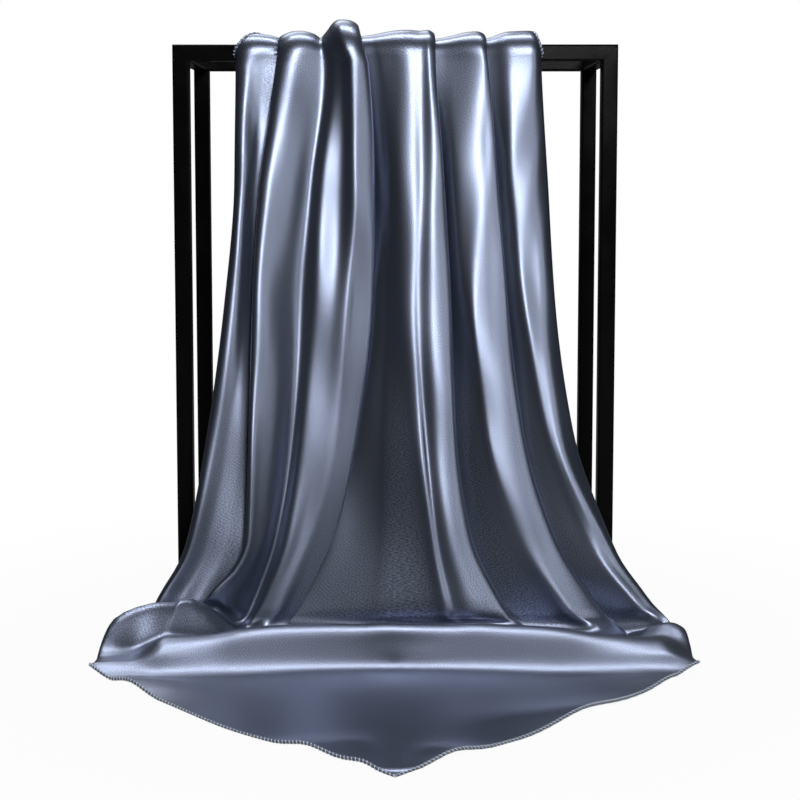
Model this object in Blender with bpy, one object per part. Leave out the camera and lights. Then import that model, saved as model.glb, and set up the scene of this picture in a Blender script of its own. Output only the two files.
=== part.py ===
"""A square satin scarf draped over the front top bar of a box-frame stand.

The scarf is one square of cloth, 90 cm a side, laid with a diagonal running from
front to back. Its front corner lies flat on the floor, behind that the cloth rises
over a soft roll and dips into a hollow, hangs in folds in front of the stand, and
goes over the bar, where the back corner hangs free. The stand is a cuboid of
square tube. Every length is in metres; X runs across, Y from the front corner to
the back of the stand, Z up, and the origin is under the middle of the whole thing.
"""

import bpy
import numpy as np

# ---- driving dimensions -------------------------------------------------------
SIDE = 0.900                    # edge of the square of cloth
DIAGONAL = SIDE * np.sqrt(2.0)
WALL = 0.0015                   # cloth thickness
HEM = 0.0040                    # width of the rolled hem
HEM_WALL = 0.0022
MOST_STEP = 1.5                 # most that a slanted corner of the wall is thickened by
GAP = 0.0003                    # clearance between neighbouring pieces

STAND_WIDTH = 0.487
STAND_HEIGHT = 0.624
STAND_DEPTH = 0.207
TUBE = 0.018                    # square tube of the stand
TUBE_CORNER = 0.0022            # radius along the tube's edges
END_GAP = GAP * 0.75            # kept free at both ends of each piece of tube

CORNER_Y = -0.3572              # tip of the cloth on the floor
STAND_FRONT_Y = 0.1485          # front face of the stand

# ---- the scarf's line from corner to corner, in the X = middle plane ----------
# Stretches are named by the length of cloth used up from the front corner.
ROLL_START, ROLL_CREST, ROLL_END = 0.270, 0.332, 0.390
ROLL_BASE = 0.088               # floor covered by the roll
ROLL_HEIGHT = 0.034
FOOT_START = 0.405              # where the cloth starts to rise again
FOOT_RADIUS = 0.022
LEAN_POWER = 1.5                # the hanging cloth comes forward by a power of its drop
BACK_LEAN = 0.06                # and the back fall moves back as a part of its drop
BAR_RADIUS = 0.013              # turn of the cloth over the bar
BAR_CENTRE_Z = STAND_HEIGHT - 0.0095
BAR_CENTRE_Y = STAND_FRONT_Y + TUBE / 2

# ---- the folds ----------------------------------------------------------------
# One row for each line that runs down the cloth, from left to right. share is its
# place across the part that shows, x its distance from the middle in mm at each
# of the heights below, lift how far it stands off the plain hanging surface in mm
# at four of them, and turn is +1 or -1 for an edge that laps over to that side.
X_AT = ("top", 0.60, 0.47, 0.34, 0.21, 0.10, 0.03)
LIFT_AT = ("top", 0.47, 0.21, 0.03)
FOLDS = (
    # name        share                x at X_AT                           lift        turn
    ("a_edge",   -1.000, (-178, -176, -177, -187, -202, -222, -250), (1, 10, 15, 8), 0),
    ("a_crest",  -0.965, (-168, -171, -171, -180, -197, -216, -245), (5, 17, 21, 14), 0),
    ("a_face",   -0.930, (-158, -163, -165, -173, -190, -210, -239), (7, 18, 22, 14), 0),
    ("a_fall",   -0.880, (-143, -152, -156, -162, -176, -196, -222), (5, 10, 15, 9), 0),
    ("a_second", -0.845, (-133, -144, -151, -158, -162, -175, -204), (4, 7, 13, 12), 0),
    ("b_edge",   -0.770, (-126, -129, -145, -152, -154, -157, -190), (3, 28, 33, 24), -1),
    ("b_crest",  -0.735, (-117, -123, -137, -147, -150, -152, -185), (9, 32, 36, 28), 0),
    ("b_face",   -0.690, (-104, -112, -127, -139, -143, -147, -178), (11, 29, 33, 25), 0),
    ("b_flank",  -0.620, (-88, -94, -109, -124, -128, -137, -166), (7, 21, 24, 18), 0),
    ("bc_dip",   -0.520, (-81, -76, -90, -100, -109, -125, -150), (1, 10, 6, 3), 0),
    ("c_crest",  -0.455, (-77, -66, -78, -85, -97, -113, -140), (6, 17, 13, 7), 0),
    ("cd_dip",   -0.370, (-71, -54, -56, -64, -77, -100, -129), (17, 14, 12, 7), 0),
    ("d_crest",  -0.330, (-63, -48, -46, -53, -66, -92, -122), (25, 17, 12, 7), 0),
    ("d_face",   -0.280, (-50, -38, -37, -44, -55, -82, -113), (26, 15, 9, 5), 0),
    ("d_edge",   -0.215, (-40, -29, -22, -25, -40, -64, -98), (14, 10, 3, 1), 1),
    ("e_foot",    0.000, (-24, -16, -8, -8, -12, -14, -20), (6, 13, 14, 13), 0),
    ("e_left",    0.050, (-8, 1, 5, 6, 17, 31, 42), (9, 23, 26, 23), 0),
    ("e_face",    0.090, (12, 16, 20, 18, 27, 39, 53), (11, 26, 29, 26), 0),
    ("e_dip",     0.125, (26, 28, 29, 26, 32, 44, 60), (9, 24, 26, 23), 0),
    ("e_crest",   0.165, (35, 36, 39, 38, 42, 55, 76), (11, 27, 30, 26), 0),
    ("e_edge",    0.245, (43, 44, 53, 60, 64, 80, 114), (5, 21, 22, 16), 1),
    ("f_start",   0.365, (52, 57, 65, 74, 92, 118, 160), (3, 17, 20, 12), 0),
    ("f_crest",   0.455, (79, 88, 90, 87, 101, 134, 178), (8, 22, 24, 16), 0),
    ("f_face",    0.500, (89, 95, 98, 100, 111, 145, 188), (8, 21, 23, 15), 0),
    ("f_edge",    0.590, (98, 101, 111, 121, 136, 168, 212), (4, 16, 14, 6), 1),
    ("g_start",   0.715, (108, 111, 120, 133, 156, 196, 240), (5, 11, 12, 11), 0),
    ("g_crest",   0.770, (122, 124, 128, 141, 163, 204, 248), (10, 15, 15, 12), 0),
    ("g_mid",     0.870, (146, 148, 150, 157, 174, 215, 256), (9, 11, 14, 11), 0),
    ("g_edge",    1.000, (160, 161, 169, 176, 193, 230, 265), (1, 1, 4, 4), 0),
)
LAP_BACK = 0.004                # how far a lapped edge turns back under itself
LAP_SHARE = 0.040               # cloth used by that turn
LAP_LIFT = 0.15                 # part of the edge's lift left in the gap beside it
SOFTEN = 0.012                  # share over which a fold's roundness is averaged
FLAT_UNTIL = 0.290                      # length where the folds start to gather
FOOT_LIFT = 0.35                # part of the lowest lift left at the foot
FOOT_FLARE = 0.7                # how far the lines run on outwards at the floor
BACK_LIFTS = (0.6, 0.3)                 # parts of the top lift left behind the bar

# Half the width that shows, along the cloth: full on the floor, gathered at the bar.
SHOW_LOW, SHOW_BAR = 0.300, 0.236
GATHER_START, GATHER_END = 0.80, 1.03
SPREAD = 0.85                   # how much of that width the folds take behind the bar
SPREAD_AT = 1.090               # length at which they have nearly spread out
SPREAD_LEFT = 0.3               # and how much of their gathering is left there
HELD = 0.018                    # just past the bar they still lie as they do on it

# What lies past the part that shows: the wings, tucked behind and under.
WING_WAVE = 0.12                # depth of its waves, as a part of its width
WING_GAP = 0.012                # clearance behind the folds
WING_STEEP = 1.2                # how steeply it goes back to there
WING_TURN = 0.020               # width of the turn, in which the folds die out
WING_LEAST = 0.024              # a narrower one on the floor isn't wholly tucked in
WING_FLOOR, WING_HUNG = 0.85, 0.49      # how much of its width it takes up
LAID, HUNG = 0.42, 0.58         # lengths between which it goes from lying to hanging
WING_PROP = 0.014               # height of the cloth over a wing on the floor
PROP_LENGTHS = (0.265, 0.302, 0.43, 0.50)       # where that starts, is full, ends, is over
PROP_SHARES = (0.55, 0.97)
BAR_NEAR, BAR_AT = 0.93, 1.00   # lengths between which the stand comes close
BAR_ROOM = 0.004                # what the cloth in front of the bar can lose

# How the floor part is pushed forward at either side of the middle.
PUSH_LEFT, PUSH_RIGHT = 0.037, 0.030
PUSH_FULL = 0.16                # distance from the middle where it is whole
PUSH_ENDS = 0.28                # and where the roll's crest has the same push
PUSH_FROM, PUSH_OVER = 0.15, 0.45       # lengths where it lessens, and is over

# How the roll sinks towards its ends. Rows are: side, from, to, part of its height.
SINKS = ((-1, 0.12, 0.26, 0.45), (-1, 0.225, 0.262, 0.55),
         (1, 0.14, 0.28, 0.45), (1, 0.27, 0.30, 0.50))

# Ridges on the floor part: the loop at the left end and the pouch at the right.
# Rows are places along each ridge: x, y, height.
LOOP = ((-0.175, 0.010, 0.014), (-0.205, -0.004, 0.034), (-0.243, -0.022, 0.031),
        (-0.278, -0.042, 0.024), (-0.294, -0.058, 0.010))
POUCH = ((0.245, -0.010, 0.012), (0.282, -0.036, 0.016), (0.298, -0.056, 0.010))
RIDGE_REACH = 0.027
RIDGE_STEPS = 17                # short straight pieces that each one is made of
RIDGE_FROM, RIDGE_OVER = 0.41, 0.50    # lengths where the ridges die out

# Waves of the hem on the floor: which side, distance from the tip, height, reach.
WAVES = ((1, 0.070, 0.006, 0.030), (1, 0.235, 0.009, 0.050), (1, 0.375, 0.006, 0.030),
         (-1, 0.035, 0.004, 0.025), (-1, 0.105, 0.006, 0.030), (-1, 0.355, 0.008, 0.030))
WAVE_DEPTH = 0.045


def smooth(low, high, value):
    """0 below low, 1 above high, and a cubic ease between."""
    part = np.clip((value - low) / (high - low), 0.0, 1.0)
    return part * part * (3.0 - 2.0 * part)


def soft_plus(value, bend=0.02):
    """The larger of value and 0, rounded off within about bend of the corner."""
    return (value + np.sqrt(value * value + bend * bend)) / 2.0


def profile_points():
    """Dense (length, y, z) along the diagonal: flat, roll, hollow, rise, bar and back.

    The roll is one period of a squared sine, the foot a quarter circle, the rise a
    line that leans back by a power of its height, and the bar half a circle.
    """
    flat = np.linspace(0.0, ROLL_START, 40)
    y_parts, z_parts = [CORNER_Y + flat], [np.zeros_like(flat)]
    part = np.linspace(0.0, 1.0, 60)[1:]
    y_parts.append(CORNER_Y + ROLL_START + ROLL_BASE * part)
    z_parts.append(ROLL_HEIGHT * np.sin(np.pi * part) ** 2)
    y_hollow = CORNER_Y + ROLL_START + ROLL_BASE + (FOOT_START - ROLL_END)
    turn = np.linspace(0.0, np.pi / 2, 24)
    y_parts.append(y_hollow + FOOT_RADIUS * np.sin(turn))
    z_parts.append(FOOT_RADIUS * (1.0 - np.cos(turn)))
    z_rise = np.linspace(FOOT_RADIUS, BAR_CENTRE_Z, 240)[1:]
    y_bar = BAR_CENTRE_Y - BAR_RADIUS
    y_foot = y_hollow + FOOT_RADIUS
    fall = ((BAR_CENTRE_Z - z_rise) / (BAR_CENTRE_Z - FOOT_RADIUS)) ** LEAN_POWER
    y_parts.append(y_bar + (y_foot - y_bar) * fall)
    z_parts.append(z_rise)
    over = np.linspace(0.0, np.pi, 48)[1:]
    y_parts.append(BAR_CENTRE_Y - BAR_RADIUS * np.cos(over))
    z_parts.append(BAR_CENTRE_Z + BAR_RADIUS * np.sin(over))
    z_back = np.linspace(BAR_CENTRE_Z, BAR_CENTRE_Z - 0.30, 60)[1:]
    y_parts.append(BAR_CENTRE_Y + BAR_RADIUS + BACK_LEAN * (BAR_CENTRE_Z - z_back))
    z_parts.append(z_back)
    y, z = np.concatenate(y_parts), np.concatenate(z_parts)
    length = np.concatenate([[0.0], np.cumsum(np.hypot(np.diff(y), np.diff(z)))])
    return length, y, z


LENGTH, LINE_Y, LINE_Z = profile_points()


def length_at(height):
    """Cloth used from the front corner up to this height on the hanging part."""
    if height == "top":
        return float(LENGTH[np.argmax(LINE_Z)])
    rising = (LINE_Y < BAR_CENTRE_Y) & (LENGTH > FOOT_START)
    return float(np.interp(height, LINE_Z[rising], LENGTH[rising]))


def spline(knots, values, at):
    """Monotone cubic through values, given along their last axis, at some places.

    The slope at an inner knot is the harmonic mean of its two chords' slopes, or nothing
    where they differ in sign, so the curve never swings past the values it joins.
    """
    knots = np.asarray(knots, float)
    wide = np.diff(knots)
    chord = np.diff(values, axis=-1) / wide
    before, after = chord[..., :-1], chord[..., 1:]
    same = before * after > 0.0
    total = np.where(same, before + after, 1.0)
    inner = np.where(same, 2.0 * before * after / total, 0.0)
    slope = np.concatenate([chord[..., :1], inner, chord[..., -1:]], axis=-1)
    cell = np.clip(np.searchsorted(knots, at) - 1, 0, len(knots) - 2)
    part, step = (at - knots[cell]) / wide[cell], wide[cell]

    def pick(table, index):
        return np.take_along_axis(table, index, axis=-1)

    rise = pick(values, cell + 1) - pick(values, cell)
    first, last = pick(slope, cell) * step, pick(slope, cell + 1) * step
    return (pick(values, cell) + part * first + part ** 2 * (3 * rise - 2 * first - last)
            + part ** 3 * (first + last - 2 * rise))


def fold_lines():
    """Share, x and lift of every line, with a hidden line beside each lapped edge.

    The hidden line lies back under the edge, except on the bar, where the laps open out.
    """
    lines = []
    for _, share, x, lift, turn in FOLDS:
        x, lift = np.array(x) / 1000.0, np.array(lift) / 1000.0
        under = turn * LAP_BACK * (np.arange(len(x)) > 0)
        gap = (share + turn * LAP_SHARE, x - under, lift * LAP_LIFT)
        edge = (share, x, lift)
        lines += {0: [edge], 1: [edge, gap], -1: [gap, edge]}[turn]
    share, x, lift = zip(*lines)
    return np.array(share), np.array(x), np.array(lift)


SHARE, LINE_X, LINE_LIFT = fold_lines()


def lines_along(length):
    """x and lift of every fold line at these lengths, as (lengths, lines) arrays.

    Both are splines through the table's heights. At the foot a line's x flares outwards,
    then runs into its own share of the floor, and its lift into nothing. Behind the bar
    the lines spread out.
    """
    x_at = np.array([length_at(h) for h in X_AT])[::-1]
    lift_at = np.array([length_at(h) for h in LIFT_AT])[::-1]
    x_knots = np.concatenate([[FLAT_UNTIL, ROLL_CREST, FOOT_START], x_at,
                              [x_at[-1] + HELD, SPREAD_AT, DIAGONAL]])
    flat_x, spread = SHARE * SHOW_LOW, SHARE * SHOW_BAR * SPREAD
    foot_x = LINE_X[:, -1] + FOOT_FLARE * (LINE_X[:, -1] - LINE_X[:, -2])
    x_rows = np.vstack([flat_x, flat_x, foot_x, LINE_X[:, ::-1].T, LINE_X[:, 0],
                        spread + SPREAD_LEFT * (LINE_X[:, 0] - spread), spread])
    lift_knots = np.concatenate([[ROLL_CREST, FOOT_START], lift_at, [SPREAD_AT, DIAGONAL]])
    lift_rows = np.vstack([np.zeros_like(flat_x), LINE_LIFT[:, -1] * FOOT_LIFT,
                           LINE_LIFT[:, ::-1].T, np.outer(BACK_LIFTS, LINE_LIFT[:, 0])])
    at = np.clip(length, x_knots[0], x_knots[-1])
    x = spline(x_knots, x_rows.T, np.broadcast_to(at, (len(SHARE), len(at)))).T
    at = np.clip(length, lift_knots[0], lift_knots[-1])
    lift = spline(lift_knots, lift_rows.T, np.broadcast_to(at, (len(SHARE), len(at)))).T
    return x, np.maximum(lift, 0.0)


def ridge(points, x, y):
    """Height of a ridge along a spline through (x, y, height) places.

    Its profile is a squared cosine of the distance from that line.
    """
    at = np.linspace(0.0, len(points) - 1.0, RIDGE_STEPS)
    line = spline(np.arange(len(points)), np.transpose(points), np.tile(at, (3, 1))).T
    best = np.zeros_like(x)
    for (x0, y0, h0), (x1, y1, h1) in zip(line[:-1], line[1:]):
        run = np.array([x1 - x0, y1 - y0])
        part = np.clip(((x - x0) * run[0] + (y - y0) * run[1]) / (run @ run), 0.0, 1.0)
        away = np.hypot(x - x0 - part * run[0], y - y0 - part * run[1])
        bell = np.cos(np.pi / 2 * np.clip(away / RIDGE_REACH, 0.0, 1.0)) ** 2
        best = np.maximum(best, (h0 + part * (h1 - h0)) * bell)
    return best


def drape(across, length):
    """Places of points of the cloth, given as (rows, columns) of flat coordinates.

    across is the distance from the diagonal and length the distance along it; each
    row of the arrays holds one length. Within the part that shows, the point is
    read from the fold lines and lifted off the profile; past it the cloth turns
    behind as a wing, towards the middle where it hangs and backwards on the floor.
    """
    row = length[:, 0]
    show = (SHOW_LOW + (SHOW_BAR - SHOW_LOW) * smooth(GATHER_START, GATHER_END, row))[:, None]
    half = np.maximum(np.minimum(row, DIAGONAL - row), 1e-4)[:, None]
    share = across / show
    side = np.sign(share)
    inside = side * (1.0 - soft_plus(1.0 - np.abs(share)))
    x_lines, lift_lines = lines_along(row)
    x = spline(SHARE, x_lines, inside)
    lift = sum(part * spline(SHARE, lift_lines, np.clip(inside + SOFTEN * off, -1.0, 1.0))
               for off, part in ((-2, 0.1), (-1, 0.2), (0, 0.4), (1, 0.2), (2, 0.1)))
    hang = smooth(ROLL_START, ROLL_END, row)[:, None]
    x = x * hang + inside * show * (1.0 - hang)

    y0, z0 = np.interp(row, LENGTH, LINE_Y), np.interp(row, LENGTH, LINE_Z)
    step = 0.003
    ty = np.interp(row + step, LENGTH, LINE_Y) - np.interp(row - step, LENGTH, LINE_Y)
    tz = np.interp(row + step, LENGTH, LINE_Z) - np.interp(row - step, LENGTH, LINE_Z)
    size = np.hypot(ty, tz)
    ny, nz = (-tz / size)[:, None], (ty / size)[:, None]
    y0, z0, row = y0[:, None], z0[:, None], row[:, None]

    # The wing runs inwards behind the cloth, with two waves over its width. A narrow
    # one only carries on sideways, and at the bar it is pressed towards the cloth.
    extra = soft_plus(np.abs(share) - 1.0) * show
    whole = np.maximum(half - show, 1e-4)
    swing = WING_WAVE * whole * np.sin(2.0 * np.pi * np.clip(extra / whole, 0.0, 1.0)) ** 2
    behind = WING_GAP * (1.0 - np.exp(-WING_STEEP * extra / WING_GAP)) + swing
    hung = smooth(LAID, HUNG, row)
    turned = smooth(0.0, WING_LEAST * (1.0 + hung), whole)
    inward = (WING_FLOOR + (WING_HUNG - WING_FLOOR) * hung) * turned
    inward = inward - (1.0 - turned)
    fade = 1.0 - smooth(0.0, WING_TURN, extra)
    room = BAR_ROOM + (1.0 - smooth(BAR_NEAR, BAR_AT, row))
    lift = lift * fade - behind
    lift = np.where(lift < 0.0, room * (np.exp(lift / room) - 1.0), lift)

    # On the floor the cloth has sheared, so both halves lie further forward than its
    # middle. The roll follows them at its ends and sinks there.
    push = np.where(x < 0.0, PUSH_LEFT, PUSH_RIGHT) * smooth(0.0, PUSH_FULL, np.abs(x))
    push = push * (1.0 - smooth(PUSH_FROM, ROLL_CREST, row) * (1.0 - (x / PUSH_ENDS) ** 2))
    push = push * (1.0 - smooth(ROLL_CREST, PUSH_OVER, row))
    sink = 1.0 - sum(part * smooth(near, far, hand * x) for hand, near, far, part in SINKS)
    hump = np.where(row < FOOT_START, z0 * sink * fade, z0)
    starts, full, ends, over = PROP_LENGTHS
    prop = WING_PROP * smooth(starts, full, row) * (1.0 - smooth(ends, over, row))
    prop = prop * smooth(*PROP_SHARES, np.abs(share))
    floor = (1.0 - smooth(RIDGE_FROM, RIDGE_OVER, row)) * fade
    x = x - side * extra * inward
    y = y0 + lift * ny - push
    ridges = floor * (ridge(LOOP, x, y) + ridge(POUCH, x, y))
    z = np.maximum(hump + prop + lift * nz + ridges, 0.0)

    # Waves of the free hem on the floor.
    edge_run = np.sqrt(2.0) * length
    inward = (half - np.abs(across)) / np.sqrt(2.0)
    for sign, at, height, reach in WAVES:
        near = np.exp(-((edge_run - at) / reach) ** 2) * (np.sign(across) == sign)
        z = z + height * near * np.exp(-(inward / WAVE_DEPTH) ** 2)
    return np.stack([x, y, z + WALL / 2], axis=-1)


# ---- Blender helpers ----------------------------------------------------------
def clear_scene():
    """Remove every object that the file opened with."""
    for old in list(bpy.data.objects):
        bpy.data.objects.remove(old, do_unlink=True)


def material(name, colour, roughness, metallic=0.0):
    """A Principled material with one colour and finish."""
    made = bpy.data.materials.new(name)
    made.use_nodes = True
    shader = made.node_tree.nodes["Principled BSDF"]
    shader.inputs["Base Color"].default_value = (*colour, 1.0)
    shader.inputs["Roughness"].default_value = roughness
    shader.inputs["Metallic"].default_value = metallic
    return made


def add_group(name):
    """An empty at the origin that holds the pieces of one thing."""
    made = bpy.data.objects.new(name, None)
    bpy.context.scene.collection.objects.link(made)
    return made


def add_object(name, points, faces, finish, group, location=(0, 0, 0), sharp=0.9):
    """A new mesh object from points and faces, smooth except at sharp edges."""
    mesh = bpy.data.meshes.new(name)
    mesh.from_pydata([tuple(p) for p in points], [], faces)
    mesh.materials.append(finish)
    mesh.shade_smooth()
    mesh.set_sharp_from_angle(angle=sharp)
    made = bpy.data.objects.new(name, mesh)
    made.location = location
    made.parent = group
    bpy.context.scene.collection.objects.link(made)
    return made


def strip(low, high, points):
    """Triangles between two runs of points, each time by the shorter way across."""
    made, i, j = [], 0, 0
    while i + 1 < len(low) or j + 1 < len(high):
        ways = []
        if i + 1 < len(low):
            ways.append((np.linalg.norm(points[low[i + 1]] - points[high[j]]), 0))
        if j + 1 < len(high):
            ways.append((np.linalg.norm(points[low[i]] - points[high[j + 1]]), 1))
        if min(ways)[1] == 0:
            made.append((low[i], low[i + 1], high[j]))
            i += 1
        else:
            made.append((low[i], high[j + 1], high[j]))
            j += 1
    return made


def offsets(points, faces):
    """For each point of a surface of triangles, the step that thickens it by 1.

    The direction is the mean of the faces round the point, weighted by their angle
    there. Its length makes up for the slant between it and those faces.
    """
    corners = points[faces]
    ahead = np.roll(corners, -1, axis=1) - corners
    behind = np.roll(corners, 1, axis=1) - corners
    ahead /= np.linalg.norm(ahead, axis=2, keepdims=True)
    behind /= np.linalg.norm(behind, axis=2, keepdims=True)
    angle = np.arccos(np.clip((ahead * behind).sum(axis=2), -1.0, 1.0))
    flat = np.cross(corners[:, 1] - corners[:, 0], corners[:, 2] - corners[:, 0])
    flat /= np.linalg.norm(flat, axis=1, keepdims=True)
    total = np.zeros_like(points)
    np.add.at(total, faces, angle[:, :, None] * flat[:, None])
    total /= np.linalg.norm(total, axis=1, keepdims=True)
    along, weight = np.zeros(len(points)), np.zeros(len(points))
    np.add.at(along, faces, angle * (total[faces] * flat[:, None]).sum(axis=2))
    np.add.at(weight, faces, angle)
    return total * np.minimum(weight / along, MOST_STEP)[:, None]


def wall(name, rows, thickness, finish, group):
    """A closed wall of cloth from rows of flat coordinates.

    Each row is (length, list of places across). A row may have a whole multiple of
    its neighbour's number of cells. Both faces are the same surface of triangles,
    moved out by half the thickness. It returns each row's length, and the places
    and directions of its two ends.
    """
    middle, index, count = [], [], 0
    for length, across in rows:
        across = np.array(across)[None, :]
        middle.append(drape(across, np.full_like(across, length))[0])
        index.append(range(count, count + across.size))
        count += across.size
    middle, faces = np.concatenate(middle), []
    for below, above in zip(index[:-1], index[1:]):
        cells = min(len(below), len(above)) - 1
        low_run, high_run = (len(below) - 1) // cells, (len(above) - 1) // cells
        for k in range(cells):
            faces += strip(below[k * low_run:(k + 1) * low_run + 1],
                           above[k * high_run:(k + 1) * high_run + 1], middle)
    step = offsets(middle, np.array(faces)) * thickness / 2
    faces += [tuple(corner + count for corner in face[::-1]) for face in faces]
    rim = (list(index[0]) + [r[-1] for r in index[1:-1]] + list(index[-1])[::-1]
           + [r[0] for r in index[1:-1]][::-1])
    for here, there in zip(rim, rim[1:] + rim[:1]):
        faces.append((there, here, here + count, there + count))
    add_object(name, np.vstack([middle + step, middle - step]), faces, finish, group)
    ends = np.array([[row[0], row[-1]] for row in index])
    out = step[ends] / np.linalg.norm(step[ends], axis=2, keepdims=True)
    return np.array([length for length, _ in rows]), middle[ends], out


# ---- the scarf ----------------------------------------------------------------
WING_CELLS = 4
SLANT = np.sqrt(2.0)                    # a row meets the edges of the square at 45 degrees
MIDDLE = DIAGONAL / 2
PANEL_ROWS = (
    # cells across, lengths
    (6, (0.012, 0.035)),
    (12, (0.075, 0.125, 0.175, 0.225, 0.258)),
    (36, (0.280, 0.294, 0.3005, 0.3045, 0.3085, 0.3125, 0.3165, 0.322, 0.330, 0.342,
          0.360, 0.381, 0.402)),
    (72, (0.422, 0.442, 0.468, 0.505, 0.55, 0.595, MIDDLE, 0.68, 0.73, 0.78, 0.83, 0.88,
          0.93, 0.975, 1.000, 1.020, 1.036, 1.048, 1.056, 1.064, 1.073, 1.085)),
    (36, (1.10, 1.115, 1.135, 1.16, 1.19)),
    (12, (1.22,)),
    (6, (1.25,)),
)
TIP_ROWS = (0.002, 0.0058)              # rows of the hems in front of the panel's tip


def columns(length, cells):
    """Places across the cloth at this length, from one edge of the panel to the other.

    The finest row has a place on every fold line and one between each two, and a
    few in each wing; coarser rows take every second, third, sixth or twelfth.
    """
    half = min(length, DIAGONAL - length) - HEM * SLANT
    show = SHOW_LOW + (SHOW_BAR - SHOW_LOW) * float(smooth(GATHER_START, GATHER_END, length))
    show = min(show, half * 0.94)
    shares = np.sort(np.concatenate([SHARE, (SHARE[:-1] + SHARE[1:]) / 2]))
    wing = show + (half - show) * np.arange(1, WING_CELLS + 1) / WING_CELLS
    full = np.concatenate([-wing[::-1], shares * show, wing])
    return full[::(len(full) - 1) // cells]


def build_panel(finish, group):
    """The square of satin, up to the inner edge of its hem. Returns its two rims."""
    rows = [(length, columns(length, cells)) for cells, lengths in PANEL_ROWS
            for length in lengths]
    return wall("scarf_panel", rows, WALL, finish, group)


def build_hem(name, side, back, rims, finish, group):
    """One edge's rolled hem, a band on the panel's own rows, so that it lies beside it.

    side is -1 for the left and 1 for the right edges, and back is true for the two
    that meet at the back corner. Neighbouring hems are mitred at the corners. The
    band starts a gap away from the panel's rim and has the rim's direction.
    """
    lengths = [length for _, group in PANEL_ROWS for length in group]
    if back:
        lengths = [MIDDLE + GAP] + [s for s in lengths if s > MIDDLE]
        lengths += [DIAGONAL - s for s in TIP_ROWS[::-1]]
    else:
        lengths = list(TIP_ROWS) + [s for s in lengths if s < MIDDLE] + [MIDDLE - GAP]
    lengths = np.array(lengths)
    outer = np.minimum(lengths, DIAGONAL - lengths)
    inner = np.maximum(outer - HEM * SLANT, GAP / 2)
    across = side * np.stack([inner, outer], axis=1)
    along = np.repeat(lengths[:, None], 2, axis=1)
    middle, hand = drape(across, along), 0 if side < 0 else 1
    seam, out = (np.stack([np.interp(lengths, rims[0], run) for run in table[:, hand].T],
                          axis=1) for table in rims[1:])
    away = middle[:, 1] - seam
    away /= np.linalg.norm(away, axis=1, keepdims=True)
    beside = (lengths > rims[0][0] - GAP) & (lengths < rims[0][-1] + GAP)
    middle[beside, 0] = (seam + GAP * SLANT * away)[beside]
    out = (out / np.linalg.norm(out, axis=1, keepdims=True))[:, None]
    upper, lower = middle + out * (HEM_WALL - WALL / 2), middle - out * WALL / 2
    ring = np.stack([upper[:, 0], upper[:, 1], lower[:, 1], lower[:, 0]], axis=1)
    ring[:, :, 2] -= np.minimum(ring[:, :, 2].min(axis=1), 0.0)[:, None]
    last = 4 * (len(lengths) - 1)
    faces = [[0, 1, 2, 3], [last + 3, last + 2, last + 1, last]]
    for k in range(0, last, 4):
        for c in range(4):
            n = (c + 1) % 4
            faces.append([k + n, k + c, k + 4 + c, k + 4 + n])
    if side > 0:
        faces = [face[::-1] for face in faces]
    return add_object(name, ring.reshape(-1, 3), faces, finish, group)


# ---- the stand ----------------------------------------------------------------
def tube(name, centre, length, axis, outward, mitre, finish, group):
    """A straight piece of square tube with softened edges, placed by its centre.

    It runs along axis and its outer side faces outward. A mitre of 1 cuts both ends
    at 45 degrees, with the full length on the outer side, and 0 cuts them square.
    """
    axis, outward = np.array(axis, float), np.array(outward, float)
    third = np.cross(axis, outward)
    flat, corner = TUBE / 2 - TUBE_CORNER, []
    for quarter in range(4):
        middle = np.pi / 2 * (quarter + 0.5)
        for angle in np.pi / 2 * np.array([quarter, quarter + 0.5, quarter + 1.0]):
            corner.append((flat * np.sign(np.cos(middle)) + TUBE_CORNER * np.cos(angle),
                           flat * np.sign(np.sin(middle)) + TUBE_CORNER * np.sin(angle)))
    points = []
    for end in (-1.0, 1.0):
        for p, q in corner:
            along = end * (length / 2 - mitre * (TUBE / 2 - p) - END_GAP)
            points.append(along * axis + p * outward + q * third)
    count = len(corner)
    faces = [list(range(count))[::-1], list(range(count, 2 * count))]
    for k in range(count):
        n = (k + 1) % count
        faces.append([k, n, count + n, count + k])
    return add_object(name, points, faces, finish, group, centre, sharp=1.2)


def build_stand(finish, group):
    """The cuboid frame: two mitred rectangles, joined by four bars along its depth."""
    side, top, low = STAND_WIDTH / 2 - TUBE / 2, STAND_HEIGHT - TUBE / 2, TUBE / 2
    middle = STAND_HEIGHT / 2
    front_y = STAND_FRONT_Y + TUBE / 2
    rear_y = STAND_FRONT_Y + STAND_DEPTH - TUBE / 2
    hands = (("left", -1), ("right", 1))
    for end, y in (("front", front_y), ("rear", rear_y)):
        for level, z, up in (("top", top, 1), ("bottom", low, -1)):
            tube(f"{end}_bar_{level}", (0, y, z), STAND_WIDTH, (1, 0, 0), (0, 0, up), 1,
                 finish, group)
        for hand, sign in hands:
            tube(f"{end}_post_{hand}", (sign * side, y, middle), STAND_HEIGHT, (0, 0, 1),
                 (sign, 0, 0), 1, finish, group)
    for level, z in (("top", top), ("bottom", low)):
        for hand, sign in hands:
            tube(f"depth_bar_{level}_{hand}", (sign * side, (front_y + rear_y) / 2, z),
                 STAND_DEPTH - 2 * TUBE, (0, 1, 0), (sign, 0, 0), 0, finish, group)


clear_scene()
satin = material("satin", (0.19, 0.23, 0.31), 0.35, 0.3)
thread = material("hem_thread", (0.30, 0.34, 0.43), 0.45)
paint = material("black_paint", (0.012, 0.012, 0.013), 0.22)
scarf, stand = add_group("scarf"), add_group("stand")
rims = build_panel(satin, scarf)
for where, back in (("front", False), ("back", True)):
    for hand, side in (("left", -1), ("right", 1)):
        build_hem(f"hem_{where}_{hand}", side, back, rims, thread, scarf)
build_stand(paint, stand)
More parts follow.
